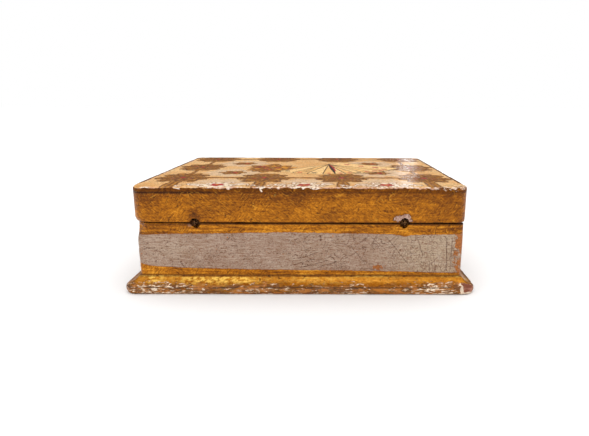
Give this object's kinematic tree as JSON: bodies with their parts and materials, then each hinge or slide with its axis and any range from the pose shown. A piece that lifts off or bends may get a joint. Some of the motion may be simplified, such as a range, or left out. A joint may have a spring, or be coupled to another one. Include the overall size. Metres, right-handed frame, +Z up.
{
  "type": "playing card box",
  "caption": "Rectangular gilt wooden box with a moulded plinth and a shallow painted lid on wire-loop hinges, hollow for playing cards.",
  "frame": {"origin": "centre of the underside", "axes": "+Z up, +X along the length, -Y towards the hinged back, +Y towards the opening front"},
  "size_m": [0.1726, 0.141, 0.0524],
  "materials": {
    "worn_gilt": "gilded gesso over wood, nose worn to cream and brown",
    "silvered_gilt": "silvered band between gilded strips, crazed and speckled",
    "gilt": "aged gilding over red-brown bole, satin",
    "painted_top": "cream ground painted with gold-brown scrolls, varnished",
    "aged_wire": "dull brown tarnish"
  },
  "bodies": {
    "box": {"base_board": "worn_gilt", "body_back_board": "silvered_gilt", "body_front_board": "silvered_gilt", "body_left_board": "silvered_gilt", "body_right_board": "silvered_gilt", "body_hinge_pin_left": "aged_wire", "body_hinge_pin_right": "aged_wire"},
    "lid": {"lid_back_rail": "gilt", "lid_front_rail": "gilt", "lid_left_rail": "gilt", "lid_right_rail": "gilt", "lid_top_panel": "painted_top", "lid_hinge_pin_left": "aged_wire", "lid_hinge_pin_right": "aged_wire"}
  },
  "joints": [
    {"name": "lid_hinge", "type": "hinge", "parent": "box", "child": "lid", "pos_m": [0, -0.0642, 0.03475], "axis": [1, 0, 0], "range_deg": [0, 100]}
  ]
}
